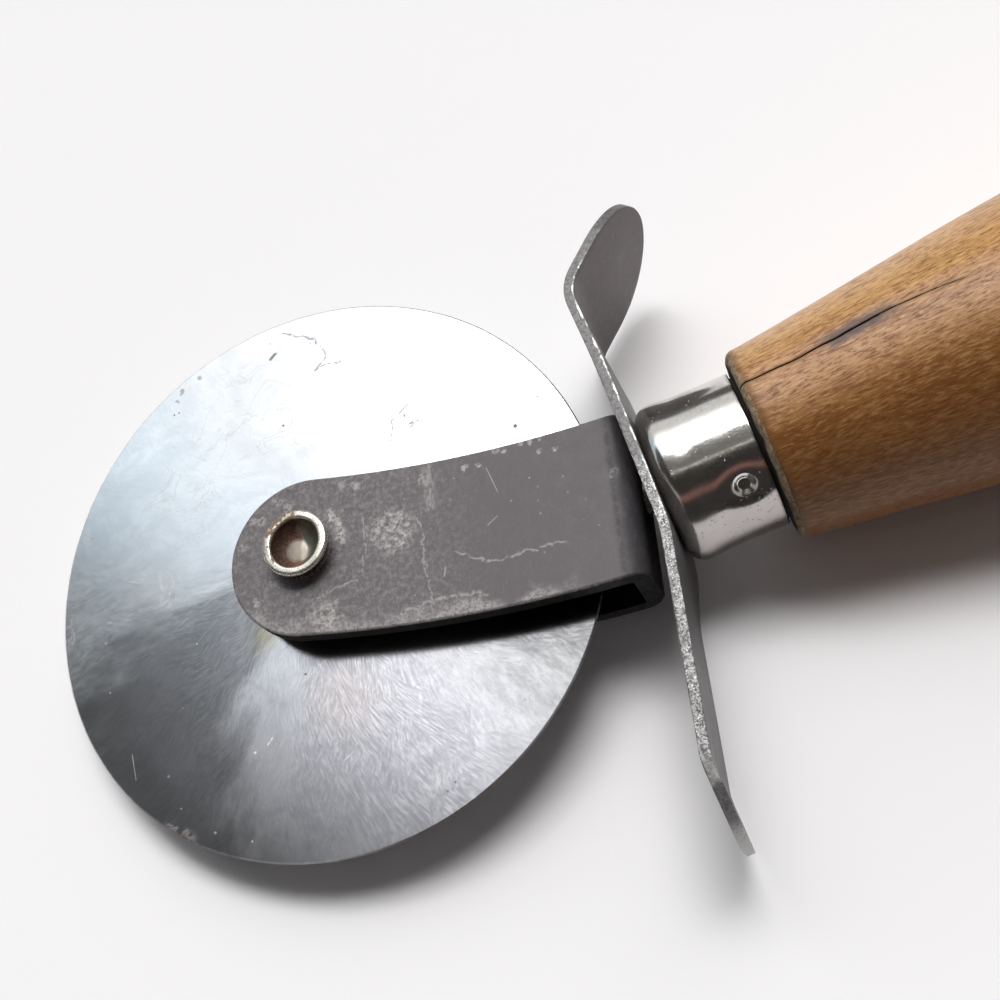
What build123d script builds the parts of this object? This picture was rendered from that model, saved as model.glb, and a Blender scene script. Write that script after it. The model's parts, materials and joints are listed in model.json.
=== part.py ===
"""A pizza cutter: a steel disc that spins on a riveted axle in a U-shaped strap fork,
with a bent finger guard, a drawn ferrule and a turned wooden handle.

Millimetres and degrees. The origin is on the handle's axis, at the guard's back.
+X runs along the handle to its butt, +Z along the blade's axle, and +Y across.
"""
import os
from math import cos, radians, sin

from build123d import *

os.makedirs("parts", exist_ok=True)

# Blade
BLADE_RADIUS = 33.0
BLADE_THICK = 0.9
BEVEL_WIDTH = 0.7
RIM_LAND = 0.25

# Fork: one strap folded to a U, a little bowed sideways and skewed to the handle
STRAP_WIDTH = 18.2
STRAP_THICK = 2.0
STRAP_SHIFT = 0.8
STRAP_BOW = 1.15
STRAP_EDGE_ROUND = 0.3
FORK_HEIGHT = 10.8
FORK_BEND = 2.4
FORK_SKEW = 12.5
RIM_TO_BRIDGE = 2.4
AXLE_TO_ARM_END = 8.7
TANG_SHIFT = 0.44
BRIDGE_TO_GUARD = 0.62

# Axle: a tubular rivet through a bush that holds the arms apart
RIVET_RADIUS = 3.1
RIVET_HEAD_RADIUS = 5.2
RIVET_HEAD_HEIGHT = 1.7
RIVET_HEAD_EDGE = 0.6
RIVET_DOME_RADIUS = 10.4
CLINCH_RADIUS = 3.85
CLINCH_NECK = 3.45
CLINCH_HEIGHT = 2.4
CLINCH_LIP = 1.0
CLINCH_ROUND = 0.35
CUP_RADIUS = 2.6
CUP_RIM = 0.7
CUP_DEPTH = 2.9
CUP_FLOOR_RADIUS = 1.2
BUSH_WALL = 1.1
SPACER_WALL = 2.2

# Guard: one bent strip with rounded ends, that stands flat on the ferrule
GUARD_WIDTH = 18.2
GUARD_THICK = 1.1
GUARD_FLAT_BELOW = 7.8
LOWER_WING = 23.6
LOWER_WING_ANGLE = 11.0
LOWER_TIP = 7.5
LOWER_TIP_ANGLE = 3.0
LOWER_END_RADIUS = 10.7
GUARD_FLAT_ABOVE = 22.4
UPPER_TIP = 15.1
UPPER_TIP_ANGLE = 45.0
TIP_BEND = 6.5
WING_BEND = 12.0
FLARE_BEND = 4.5

# Tang: a rod that is riveted flush in the skewed fork and bent behind it
TANG_RADIUS = 2.1
TANG_HEAD_RADIUS = 2.7
TANG_HEAD_HEIGHT = 0.6
TANG_DEPTH = 55.0
TANG_POINT = 6.0
TANG_POINT_RADIUS = 0.8
TANG_BEND = 12.0

# Ferrule: a drawn cup with a bead at its front and one punched dimple
FERRULE_RADIUS = 8.55
FERRULE_WALL = 0.6
FERRULE_LENGTH = 11.0
FERRULE_SHOULDER = 1.2
BEAD_HEIGHT = 0.3
BEAD_LENGTH = 1.6
BEAD_END = 3.0
DIMPLE_STATION = 8.1
DIMPLE_ANGLE = 45.0
DIMPLE_RADIUS = 0.9
DIMPLE_DEPTH = 0.5

# Handle
HANDLE_LENGTH = 108.7
HANDLE_FRONT_RADIUS = 10.6
HANDLE_FRONT_ROUND = 1.2
HANDLE_FRONT_SLOPE = 0.11
BELLY_RADIUS = 15.8
BELLY_STATION = 57.7
TAIL_RADIUS = 13.2
TAIL_STATION = 97.7
BUTT_FLAT_RADIUS = 5.0

# Clearances
RUNNING_GAP = 0.05
SIDE_GAP = 0.15
SEAT_GAP = 0.03
HOLE_GAP = 0.2
WOOD_GAP = 0.3

# Places that follow from the sizes
arm_outer = FORK_HEIGHT / 2
arm_inner = arm_outer - STRAP_THICK
skew = radians(FORK_SKEW)
fork_x = Vector(cos(skew), -sin(skew), 0)
fork_y = Vector(sin(skew), cos(skew), 0)
bridge_centre = Vector(-GUARD_THICK - BRIDGE_TO_GUARD, 0, 0)
axle_to_bridge = BLADE_RADIUS + RIM_TO_BRIDGE + STRAP_THICK
axle_centre = bridge_centre - fork_x * axle_to_bridge - fork_y * TANG_SHIFT
axle = Plane(axle_centre, x_dir=fork_x, z_dir=(0, 0, 1))
axle_line = Axis(axle_centre, (0, 0, 1))
axle_section = Plane(axle_centre, x_dir=fork_x, z_dir=-fork_y)
handle_section = Plane.XZ

# Blade: a flat disc with a bevel ground on both sides of its rim
bush_radius = RIVET_RADIUS + RUNNING_GAP + BUSH_WALL
blade_bore = bush_radius + RUNNING_GAP
with BuildPart() as blade:
    with BuildSketch(axle_section):
        with BuildLine():
            Polyline(
                (blade_bore, -BLADE_THICK / 2),
                (BLADE_RADIUS - BEVEL_WIDTH, -BLADE_THICK / 2),
                (BLADE_RADIUS, -RIM_LAND / 2),
                (BLADE_RADIUS, RIM_LAND / 2),
                (BLADE_RADIUS - BEVEL_WIDTH, BLADE_THICK / 2),
                (blade_bore, BLADE_THICK / 2),
                close=True,
            )
        make_face()
    revolve(axis=axle_line)
blade.part.label = "blade"

# Fork: the strap's side view, cut to its plan outline, with a flat where it bears on the guard
end_centre = STRAP_WIDTH / 2 - AXLE_TO_ARM_END
arm_middle = (end_centre + axle_to_bridge) / 2
bridge_inside = Plane(bridge_centre - fork_x * STRAP_THICK, x_dir=fork_y, z_dir=fork_x)
guard_bearing = Plane.YZ.offset(-GUARD_THICK - SEAT_GAP)
with BuildPart() as fork:
    with BuildSketch(axle_section):
        with BuildLine():
            FilletPolyline(
                (-AXLE_TO_ARM_END, arm_outer),
                (axle_to_bridge, arm_outer),
                (axle_to_bridge, -arm_outer),
                (-AXLE_TO_ARM_END, -arm_outer),
                radius=FORK_BEND,
            )
            offset(amount=STRAP_THICK, side=Side.RIGHT)
        make_face()
    extrude(amount=STRAP_WIDTH, both=True)
    with BuildSketch(axle):
        with BuildLine():
            strap_middle = ThreePointArc(
                (end_centre, -STRAP_SHIFT),
                (arm_middle, -STRAP_SHIFT - STRAP_BOW),
                (axle_to_bridge, -STRAP_SHIFT),
            )
        SlotArc(strap_middle, STRAP_WIDTH)
    extrude(amount=FORK_HEIGHT, both=True, mode=Mode.INTERSECT)
    levels = fork.edges().filter_by(GeomType.CIRCLE).group_by(Axis.Z)
    fillet([*levels[0], *levels[-1]], STRAP_EDGE_ROUND)
    with BuildSketch(guard_bearing):
        Rectangle(STRAP_WIDTH * 2, FORK_HEIGHT * 2)
    extrude(amount=GUARD_THICK * 2, mode=Mode.SUBTRACT)
    with BuildSketch(axle):
        Circle(RIVET_RADIUS + SEAT_GAP)
    extrude(amount=FORK_HEIGHT, both=True, mode=Mode.SUBTRACT)
    with BuildSketch(bridge_inside):
        Circle(TANG_RADIUS + HOLE_GAP)
    extrude(amount=STRAP_THICK, mode=Mode.SUBTRACT)
    with BuildSketch(bridge_inside):
        Circle(TANG_HEAD_RADIUS + HOLE_GAP)
    with BuildSketch(bridge_inside.offset(TANG_HEAD_HEIGHT)):
        Circle(TANG_RADIUS + HOLE_GAP)
    loft(mode=Mode.SUBTRACT)
fork.part.label = "fork"

# Axle rivet: a domed head below, a shank, and a hollow end clinched over the upper arm
with BuildPart() as axle_rivet:
    with BuildSketch(axle_section):
        with BuildLine():
            head_edge = (RIVET_HEAD_RADIUS, -arm_outer - SEAT_GAP - RIVET_HEAD_EDGE)
            clinch_top = arm_outer + SEAT_GAP + CLINCH_HEIGHT
            foot = (0, -arm_outer - SEAT_GAP - RIVET_HEAD_HEIGHT)
            RadiusArc(foot, head_edge, -RIVET_DOME_RADIUS)
            Polyline(
                head_edge,
                (RIVET_HEAD_RADIUS, -arm_outer - SEAT_GAP),
                (RIVET_RADIUS, -arm_outer - SEAT_GAP),
                (RIVET_RADIUS, arm_outer + SEAT_GAP),
                (CLINCH_NECK, arm_outer + SEAT_GAP),
                (CLINCH_NECK, clinch_top - CLINCH_LIP),
                (CLINCH_RADIUS, clinch_top - CLINCH_LIP / 2),
                (CLINCH_RADIUS, clinch_top),
                (CUP_RADIUS, clinch_top),
                (CUP_RADIUS, clinch_top - CUP_RIM),
                (CUP_FLOOR_RADIUS, clinch_top - CUP_DEPTH),
                (0, clinch_top - CUP_DEPTH),
                foot,
            )
        make_face()
    revolve(axis=axle_line)
    rim_edges = axle_rivet.edges().filter_by(GeomType.CIRCLE).group_by(Axis.Z)[-1]
    fillet(rim_edges, CLINCH_ROUND)
axle_rivet.part.label = "axle_rivet"

# Axle bush: a tube over the shank, as long as the space between the arms
with BuildPart() as axle_bush:
    with BuildSketch(axle):
        Circle(bush_radius)
        Circle(RIVET_RADIUS + RUNNING_GAP, mode=Mode.SUBTRACT)
    extrude(amount=arm_inner - SEAT_GAP, both=True)
axle_bush.part.label = "axle_bush"

# Spacer rings: one on each side of the blade, to keep it midway between the arms
spacer_inner = bush_radius + RUNNING_GAP
spacer_foot = BLADE_THICK / 2 + SIDE_GAP
spacer_length = arm_inner - SEAT_GAP - spacer_foot
with BuildPart() as upper_spacer:
    with BuildSketch(axle.offset(spacer_foot)):
        Circle(spacer_inner + SPACER_WALL)
        Circle(spacer_inner, mode=Mode.SUBTRACT)
    extrude(amount=spacer_length)
upper_spacer.part.label = "upper_spacer"

with BuildPart() as lower_spacer:
    with BuildSketch(axle.offset(-spacer_foot)):
        Circle(spacer_inner + SPACER_WALL)
        Circle(spacer_inner, mode=Mode.SUBTRACT)
    extrude(amount=-spacer_length)
lower_spacer.part.label = "lower_spacer"

# Guard: its bent edge view, cut to the outline that shows along the handle
wing = radians(LOWER_WING_ANGLE)
flare = radians(UPPER_TIP_ANGLE)
wing_end = (-LOWER_WING * sin(wing), -GUARD_FLAT_BELOW - LOWER_WING * cos(wing))
curl = radians(LOWER_TIP_ANGLE)
tip_below = (wing_end[0] + LOWER_TIP * sin(curl), wing_end[1] - LOWER_TIP * cos(curl))
tip_above = (UPPER_TIP * sin(flare), GUARD_FLAT_ABOVE + UPPER_TIP * cos(flare))
half_width = GUARD_WIDTH / 2
upper_round = half_width * cos(flare)
low_centre = tip_below[1] + LOWER_END_RADIUS
high_centre = tip_above[1] - upper_round
with BuildPart() as guard:
    with BuildSketch(Plane.XY):
        with BuildLine():
            FilletPolyline(
                tip_below,
                wing_end,
                (0, -GUARD_FLAT_BELOW),
                (0, GUARD_FLAT_ABOVE),
                tip_above,
                radius=[TIP_BEND, WING_BEND, FLARE_BEND],
            )
            offset(amount=GUARD_THICK, side=Side.LEFT)
        make_face()
    extrude(amount=half_width, both=True)
    with BuildSketch(Plane.YZ):
        with Locations((low_centre, 0)):
            Circle(LOWER_END_RADIUS)
            Rectangle(high_centre - low_centre, GUARD_WIDTH, align=(Align.MIN, Align.CENTER))
        with Locations((high_centre, 0)):
            Ellipse(upper_round, half_width)
    extrude(amount=UPPER_TIP + LOWER_WING, both=True, mode=Mode.INTERSECT)
    with BuildSketch(Plane.YZ):
        Circle(TANG_RADIUS + HOLE_GAP)
    extrude(amount=GUARD_THICK * 2, both=True, mode=Mode.SUBTRACT)
guard.part.label = "guard"

# Ferrule: a revolved cup with the tang's hole, and a dimple punched into the wood
ferrule_inner = FERRULE_RADIUS - FERRULE_WALL
bead_radius = FERRULE_RADIUS + BEAD_HEIGHT
dimple_turn = radians(DIMPLE_ANGLE)
dimple_out = Vector(0, -cos(dimple_turn), sin(dimple_turn))
dimple_ball = FERRULE_RADIUS - DIMPLE_DEPTH + DIMPLE_RADIUS
dimple_centre = Vector(DIMPLE_STATION, 0, 0) + dimple_out * dimple_ball
poles_along_handle = (0, -90, 0)
with BuildPart() as dimple_bump:
    with Locations(dimple_centre):
        Sphere(DIMPLE_RADIUS + FERRULE_WALL, rotation=poles_along_handle)
    with BuildSketch(Plane.YZ):
        Circle(FERRULE_RADIUS - FERRULE_WALL / 2)
    extrude(amount=FERRULE_LENGTH, mode=Mode.INTERSECT)

with BuildPart() as ferrule:
    with BuildSketch(handle_section):
        with BuildLine():
            Polyline(
                (SEAT_GAP, TANG_RADIUS + HOLE_GAP),
                (SEAT_GAP, bead_radius),
                (BEAD_LENGTH, bead_radius),
                (BEAD_END, FERRULE_RADIUS),
                (FERRULE_LENGTH, FERRULE_RADIUS),
                (FERRULE_LENGTH, ferrule_inner),
                (FERRULE_WALL + SEAT_GAP, ferrule_inner),
                (FERRULE_WALL + SEAT_GAP, TANG_RADIUS + HOLE_GAP),
                close=True,
            )
        make_face()
        fillet(vertices().group_by(Axis.X)[0].sort_by(Axis.Y)[-1], FERRULE_SHOULDER)
    revolve(axis=Axis.X)
    add(dimple_bump.part)
    with Locations(dimple_centre):
        Sphere(DIMPLE_RADIUS, rotation=poles_along_handle, mode=Mode.SUBTRACT)
ferrule.part.label = "ferrule"

# Handle: a turned body with a spigot for the ferrule and a bore for the tang
handle_front = FERRULE_LENGTH + WOOD_GAP
butt = handle_front + HANDLE_LENGTH
spigot_front = FERRULE_WALL + SEAT_GAP + WOOD_GAP
spigot_radius = ferrule_inner - SEAT_GAP
dimple_pocket = DIMPLE_RADIUS + FERRULE_WALL + SEAT_GAP
with BuildPart() as handle:
    with BuildSketch(handle_section):
        with BuildLine():
            shoulder = Polyline(
                (spigot_front, 0),
                (spigot_front, spigot_radius),
                (handle_front, spigot_radius),
                (handle_front, HANDLE_FRONT_RADIUS - HANDLE_FRONT_ROUND),
            )
            nose = (handle_front + HANDLE_FRONT_ROUND, HANDLE_FRONT_RADIUS)
            RadiusArc(shoulder @ 1, nose, HANDLE_FRONT_ROUND)
            belly = (handle_front + BELLY_STATION, BELLY_RADIUS)
            tail = (handle_front + TAIL_STATION, TAIL_RADIUS)
            butt_edge = (butt, BUTT_FLAT_RADIUS)
            Spline(nose, belly, tangents=[(1, HANDLE_FRONT_SLOPE), (1, 0)])
            Spline(belly, tail, butt_edge, tangents=[(1, 0), (0, -1)])
            Polyline(butt_edge, (butt, 0), (spigot_front, 0))
        make_face()
    revolve(axis=Axis.X)
    with BuildSketch(Plane.YZ.offset(spigot_front)):
        Circle(TANG_RADIUS + SEAT_GAP)
    extrude(amount=TANG_DEPTH, mode=Mode.SUBTRACT)
    with Locations(dimple_centre):
        Sphere(dimple_pocket, rotation=poles_along_handle, mode=Mode.SUBTRACT)
handle.part.label = "handle"

# Tang: a flush head in the fork, a short bend, and a pointed rod in the handle
tang_end = spigot_front + TANG_DEPTH - WOOD_GAP
with BuildPart() as tang:
    with BuildLine() as rod_path:
        FilletPolyline(
            bridge_inside.origin,
            bridge_centre,
            (tang_end - TANG_POINT, 0, 0),
            radius=TANG_BEND,
        )
    with BuildSketch(bridge_inside):
        Circle(TANG_RADIUS)
    sweep(path=rod_path.wires()[0])
    with BuildSketch(bridge_inside):
        Circle(TANG_HEAD_RADIUS)
    with BuildSketch(bridge_inside.offset(TANG_HEAD_HEIGHT)):
        Circle(TANG_RADIUS)
    loft()
    with BuildSketch(Plane.YZ.offset(tang_end - TANG_POINT)):
        Circle(TANG_RADIUS)
    with BuildSketch(Plane.YZ.offset(tang_end)):
        Circle(TANG_POINT_RADIUS)
    loft()
tang.part.label = "tang"

for piece in (
    blade, fork, axle_rivet, axle_bush, upper_spacer, lower_spacer, guard, ferrule, handle, tang,
):
    export_step(piece.part, f"parts/{piece.part.label}.step")
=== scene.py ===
"""Looks of the pizza cutter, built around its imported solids. Metres, in the part's own frame.

Lengths in the script are millimetres until they reach a mesh, where MM turns them into metres.
Colours are linear, and each stands beside the mask that lays it on.
"""
import json
import math
from types import SimpleNamespace as Sizes

import bmesh
import bpy
import numpy as np
from mathutils import Matrix, Vector, noise


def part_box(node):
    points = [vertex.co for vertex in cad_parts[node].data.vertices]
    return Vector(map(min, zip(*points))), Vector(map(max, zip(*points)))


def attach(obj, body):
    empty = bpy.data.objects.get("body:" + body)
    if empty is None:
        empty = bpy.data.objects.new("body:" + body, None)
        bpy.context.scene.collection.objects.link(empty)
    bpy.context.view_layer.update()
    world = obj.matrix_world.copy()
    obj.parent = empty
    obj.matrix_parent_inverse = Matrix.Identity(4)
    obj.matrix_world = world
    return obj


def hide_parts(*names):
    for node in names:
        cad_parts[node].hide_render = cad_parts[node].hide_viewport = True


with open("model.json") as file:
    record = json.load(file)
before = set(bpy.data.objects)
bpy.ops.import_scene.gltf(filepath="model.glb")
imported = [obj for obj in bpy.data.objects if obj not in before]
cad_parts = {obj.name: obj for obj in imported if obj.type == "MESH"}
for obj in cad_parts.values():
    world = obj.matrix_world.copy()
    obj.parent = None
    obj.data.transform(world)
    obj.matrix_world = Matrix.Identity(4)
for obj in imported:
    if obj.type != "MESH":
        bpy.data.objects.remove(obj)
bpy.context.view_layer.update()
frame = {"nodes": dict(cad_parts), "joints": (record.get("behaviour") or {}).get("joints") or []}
nodes = frame["nodes"]
scene = bpy.context.scene
MM = 0.001
AXLE = Vector(frame["joints"][0]["pos_m"]) / MM


# Short expressions for shader nodes

def arithmetic(operation, swapped=False):
    """A method of Value that adds a Math node."""
    def method(self, other):
        return self.graph.math(operation, *((other, self) if swapped else (self, other)))
    return method


class Value:
    """One output of a node, with arithmetic."""

    def __init__(self, graph, socket):
        self.graph, self.socket = graph, socket

    __add__, __radd__ = arithmetic("ADD"), arithmetic("ADD", swapped=True)
    __sub__, __rsub__ = arithmetic("SUBTRACT"), arithmetic("SUBTRACT", swapped=True)
    __mul__, __rmul__ = arithmetic("MULTIPLY"), arithmetic("MULTIPLY", swapped=True)
    __truediv__ = arithmetic("DIVIDE")


class Graph:
    """The node tree of a material or a world, written as expressions."""

    def __init__(self, owner):
        owner.use_nodes = True
        self.owner, self.tree = owner, owner.node_tree
        self.tree.nodes.clear()

    def put(self, socket, value):
        if isinstance(value, Value):
            self.tree.links.new(value.socket, socket)
        elif socket.type == "RGBA" and len(value) == 3:
            socket.default_value = (*value, 1.0)
        else:
            socket.default_value = value

    def node(self, kind, inputs=None, **settings):
        made = self.tree.nodes.new("ShaderNode" + kind)
        for name, value in settings.items():
            setattr(made, name, value)
        for name, value in (inputs or {}).items():
            self.put(made.inputs[name], value)
        return made

    def out(self, kind, inputs=None, output=0, **settings):
        return Value(self, self.node(kind, inputs, **settings).outputs[output])

    def math(self, operation, *values):
        return self.out("Math", dict(enumerate(values)), operation=operation)

    def split(self, vector):
        made = self.node("SeparateXYZ", {0: vector})
        return [Value(self, o) for o in made.outputs]

    def join(self, x, y, z):
        return self.out("CombineXYZ", {0: x, 1: y, 2: z})

    def ramp(self, value, low, high, start=0.0, end=1.0):
        """A smooth step from start to end as value goes from low to high."""
        inputs = {0: value, 1: low, 2: high, 3: start, 4: end}
        return self.out("MapRange", inputs, interpolation_type="SMOOTHSTEP")

    def mix(self, share, first, second):
        """A colour between two colours."""
        made = self.node("Mix", data_type="RGBA")
        for name, value in ((0, share), (6, first), (7, second)):
            self.put(made.inputs[name], value)
        return Value(self, made.outputs[2])

    def layers(self, tone, *coats):
        """Colours laid over one another, each coat a pair of its share and its colour."""
        for share, colour in coats:
            tone = self.mix(share, tone, colour)
        return tone

    def blend(self, share, first, second):
        """A number between two numbers."""
        return self.out("Mix", {0: share, 2: first, 3: second})

    def place(self):
        """Take the point in the part's frame, in millimetres, for noise and cells. Give x, y and z."""
        point = self.out("TexCoord", output="Object")
        self.point = self.out("VectorMath", {0: point, "Scale": 1.0 / MM}, operation="SCALE")
        return self.split(self.point)

    def noise(self, scale, detail=2.0, rough=0.5, warp=0.0, at=None):
        return self.out("TexNoise", {"Vector": at or self.point, "Scale": scale, "Detail": detail,
                                     "Roughness": rough, "Distortion": warp})

    def cells(self, scale):
        """The distance to the nearest of many scattered points."""
        return self.out("TexVoronoi", {"Vector": self.point, "Scale": scale}, "Distance")

    def rays(self, *kinds):
        """For each kind of ray, one on such rays and nothing on others."""
        path = self.node("LightPath")
        return [Value(self, path.outputs[f"Is {kind} Ray"]) for kind in kinds]

    def mark(self, name):
        """A number stored on the mesh's points."""
        return self.out("Attribute", output="Fac", attribute_name=name)

    def size(self, value):
        return self.math("ABSOLUTE", value)

    def hypot(self, a, b):
        return self.math("SQRT", a * a + b * b)

    def most(self, *values):
        result = values[0]
        for value in values[1:]:
            result = self.math("MAXIMUM", result, value)
        return result

    def spot(self, a, b, at, inner, outer):
        """One inside a disc, fading to nothing at its outer radius."""
        return self.ramp(self.hypot(a - at[0], b - at[1]), outer, inner)

    def stroke(self, a, b, start, end, half):
        """One along a straight scratch, fading across its half width."""
        run = (end[0] - start[0], end[1] - start[1])
        size = math.hypot(*run)
        ux, uy = run[0] / size, run[1] / size
        along = (a - start[0]) * ux + (b - start[1]) * uy
        across = (b - start[1]) * ux - (a - start[0]) * uy
        past = self.most(self.size(along - size / 2) - size / 2, 0.0)
        return self.ramp(self.hypot(across, past), half, 0.0)

    def trail(self, a, b, half, *points):
        """One along a scratch through the points."""
        return self.most(*(self.stroke(a, b, p, q, half) for p, q in zip(points, points[1:])))

    def specks(self, a, b, radius, *points):
        """One in small round spots at the points."""
        return self.most(*(self.spot(a, b, p, radius * 0.4, radius) for p in points))

    def bump(self, height, distance, normal=None):
        """A normal from a height of 0 to 1 that stands for the distance in millimetres."""
        inputs = {"Height": height, "Strength": 1.0, "Distance": distance * MM}
        if normal is not None:
            inputs["Normal"] = normal
        return self.out("Bump", inputs)


def material(name):
    """A new material's graph, and the x, y and z of the point it colours."""
    g = Graph(bpy.data.materials.new(name))
    return g, *g.place()


def surface(g, tone, dull, lie, **others):
    """The graph's material, with a Principled shader of this colour, roughness and normal on its output."""
    inputs = {"Base Color": tone, "Roughness": dull, "Normal": lie}
    inputs.update({name.replace("_", " "): value for name, value in others.items()})
    g.node("OutputMaterial", {"Surface": g.out("BsdfPrincipled", inputs)})
    return g.owner


def wear(obj, *made):
    """Give an object these materials only."""
    obj.data.materials.clear()
    for m in made:
        obj.data.materials.append(m)


# Meshes from rows of points

SAME_POINT, NO_LENGTH = 1e-7, 1e-8


def bumps(points, size, seed):
    """Smooth noise from -1 to 1 with features of the given size."""
    flat = points.reshape(-1, 3) / size + seed
    return np.array([noise.noise(p) for p in flat.tolist()]).reshape(points.shape[:-1])


def ease(value, low, high):
    """A smooth step from 0 to 1 as value goes from low to high."""
    share = np.clip((value - low) / (high - low), 0, 1)
    return share * share * (3 - 2 * share)


def spread(parts):
    """Numbers from the first entry on, through evenly divided runs of (end, step)."""
    values = [parts[0]]
    for end, step in parts[1:]:
        count = max(1, round(abs(end - values[-1]) / step))
        values += list(np.linspace(values[-1], end, count + 1)[1:])
    return np.array(values)


def arc(centre, radius, start, end, count):
    """Points on an arc in a turned profile, by degrees."""
    turns = np.radians(np.linspace(start, end, count))
    return [(centre[0] + radius * math.cos(t), centre[1] + radius * math.sin(t)) for t in turns]


def lengths(line):
    """The length run at each point of a line."""
    return np.r_[0, np.cumsum(np.linalg.norm(np.diff(line, axis=0), axis=1))]


def at_lengths(line, run, stations):
    """Points of a line at the given lengths run."""
    return np.stack([np.interp(stations, run, line[:, k]) for k in (0, 1)], axis=-1)


def swept(outline, turns):
    """The two columns of a turned profile, repeated for every turn."""
    outline = np.array(outline)
    return outline[:, :1] + 0 * turns, outline[:, 1:] + 0 * turns


def about_axle(radius, height, turns):
    """Rows of points turned about the blade's axle."""
    return np.stack([AXLE.x + radius * np.cos(turns), AXLE.y + radius * np.sin(turns), height], axis=-1)


def about_handle(along, girth, turns):
    """Rows of points turned about the handle's axis."""
    return np.stack([along, girth * np.cos(turns), girth * np.sin(turns)], axis=-1)


def skin(name, replaced, rows, mats, kinds=None, closed=False, sharp=40.0, marks=None, body="holder"):
    """Quads through rows of points, closed round each row, that stand for CAD nodes of one body."""
    count, width = rows.shape[:2]
    index = np.arange(count * width).reshape(count, width)
    if closed:
        index = np.vstack([index, index[:1]])
    low, high = index[:-1], index[1:]
    quads = np.stack([low, high, np.roll(high, -1, 1), np.roll(low, -1, 1)], axis=-1).reshape(-1, 4)
    mesh = bpy.data.meshes.new(name)
    mesh.from_pydata((rows.reshape(-1, 3) * MM).tolist(), [], quads.tolist())
    for key, values in (marks or {}).items():
        mesh.attributes.new(key, "FLOAT", "POINT").data.foreach_set("value", values.ravel())
    made = bpy.data.objects.new(name, mesh)
    scene.collection.objects.link(made)
    wear(made, *mats)
    if kinds is not None:
        kinds = np.broadcast_to(kinds, low.shape).ravel().astype(np.int32)
        mesh.polygons.foreach_set("material_index", kinds)
    bm = bmesh.new()
    bm.from_mesh(mesh)
    bmesh.ops.remove_doubles(bm, verts=bm.verts, dist=SAME_POINT)
    bmesh.ops.dissolve_degenerate(bm, edges=bm.edges, dist=NO_LENGTH)
    bmesh.ops.recalc_face_normals(bm, faces=bm.faces)
    for face in bm.faces:
        face.smooth = True
    bm.to_mesh(mesh)
    bm.free()
    mesh.set_sharp_from_angle(angle=math.radians(sharp))
    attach(made, body)
    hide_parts(*replaced)


# Camera, as the photograph was taken

SENSOR, LENS, NEAREST = 36.0, 50.368, 5.0
CAMERA_AT = Vector((5.771, -63.278, 135.436))
CAMERA_RIGHT = Vector((0.908758, -0.289687, -0.300401))
CAMERA_DOWN = Vector((-0.390802, -0.843247, -0.369065))

camera = bpy.data.objects.new("camera", bpy.data.cameras.new("camera"))
scene.collection.objects.link(camera)
scene.camera = camera
camera.data.sensor_width = SENSOR
camera.data.lens = LENS
camera.data.clip_start = NEAREST * MM
back = CAMERA_RIGHT.cross(-CAMERA_DOWN).normalized()
turn = Matrix((CAMERA_RIGHT, -CAMERA_DOWN, back)).transposed().to_4x4()
camera.matrix_world = Matrix.Translation(CAMERA_AT * MM) @ turn


# Floor: the plane on which the rivet's head, the handle's belly and the guard's lower wing rest

FLOOR_SIZE = 6000.0
WING_REACH = 20.0
FLOOR_GLOW = 0.012


def corners(node):
    """The points of a CAD node's mesh, in metres."""
    return [v.co.copy() for v in nodes[node].data.vertices]


def lowest(node):
    return min(corners(node), key=lambda p: p.z)


def floor_paint():
    """Matt white, with a faint glow for the camera and for reflections."""
    g = Graph(bpy.data.materials.new("floor_paint"))
    seen = g.most(*g.rays("Camera", "Glossy", "Transmission"))
    matt = g.out("BsdfDiffuse", {"Color": (0.93, 0.925, 0.94)})
    glow = g.out("Emission", {"Color": (1.0, 0.995, 1.0), "Strength": seen * FLOOR_GLOW})
    g.node("OutputMaterial", {"Surface": g.out("AddShader", {0: matt, 1: glow})})
    return g.owner


foot = Vector((AXLE.x * MM, AXLE.y * MM, lowest("axle_rivet").z))
line = (lowest("handle") - foot).normalized()
side = Vector((line.y, -line.x, 0)).normalized()
up = side.cross(line)
wing = [p - foot for p in corners("guard") if (p - foot).dot(side) > WING_REACH * MM]
tilt = min(p.dot(up) / p.dot(side) for p in wing)
floor_normal = (up - side * tilt).normalized()
floor_level = min(floor_normal.dot(p) for node in nodes for p in corners(node))
bpy.ops.mesh.primitive_plane_add(size=FLOOR_SIZE * MM)
floor = bpy.context.object
floor.name = "floor"
facing = floor_normal.to_track_quat("Z", "Y").to_matrix().to_4x4()
floor.matrix_world = Matrix.Translation(floor_normal * floor_level) @ facing
wear(floor, floor_paint())


# Light: one wide window, brightest high up, in a dark room with side walls that only reflections show

# The window's soft edges by height and bearing, each from no light to full light
WINDOW_FOOT, WINDOW_HEAD = (0.25, 0.33), (0.965, 0.932)
WINDOW_RIGHT, WINDOW_LEFT = (0.3, 0.65), (2.376, 2.117)
WINDOW_POWER, LOW_LOSS, HIGH_GAIN = 1.55, 0.9, 12.5


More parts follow.
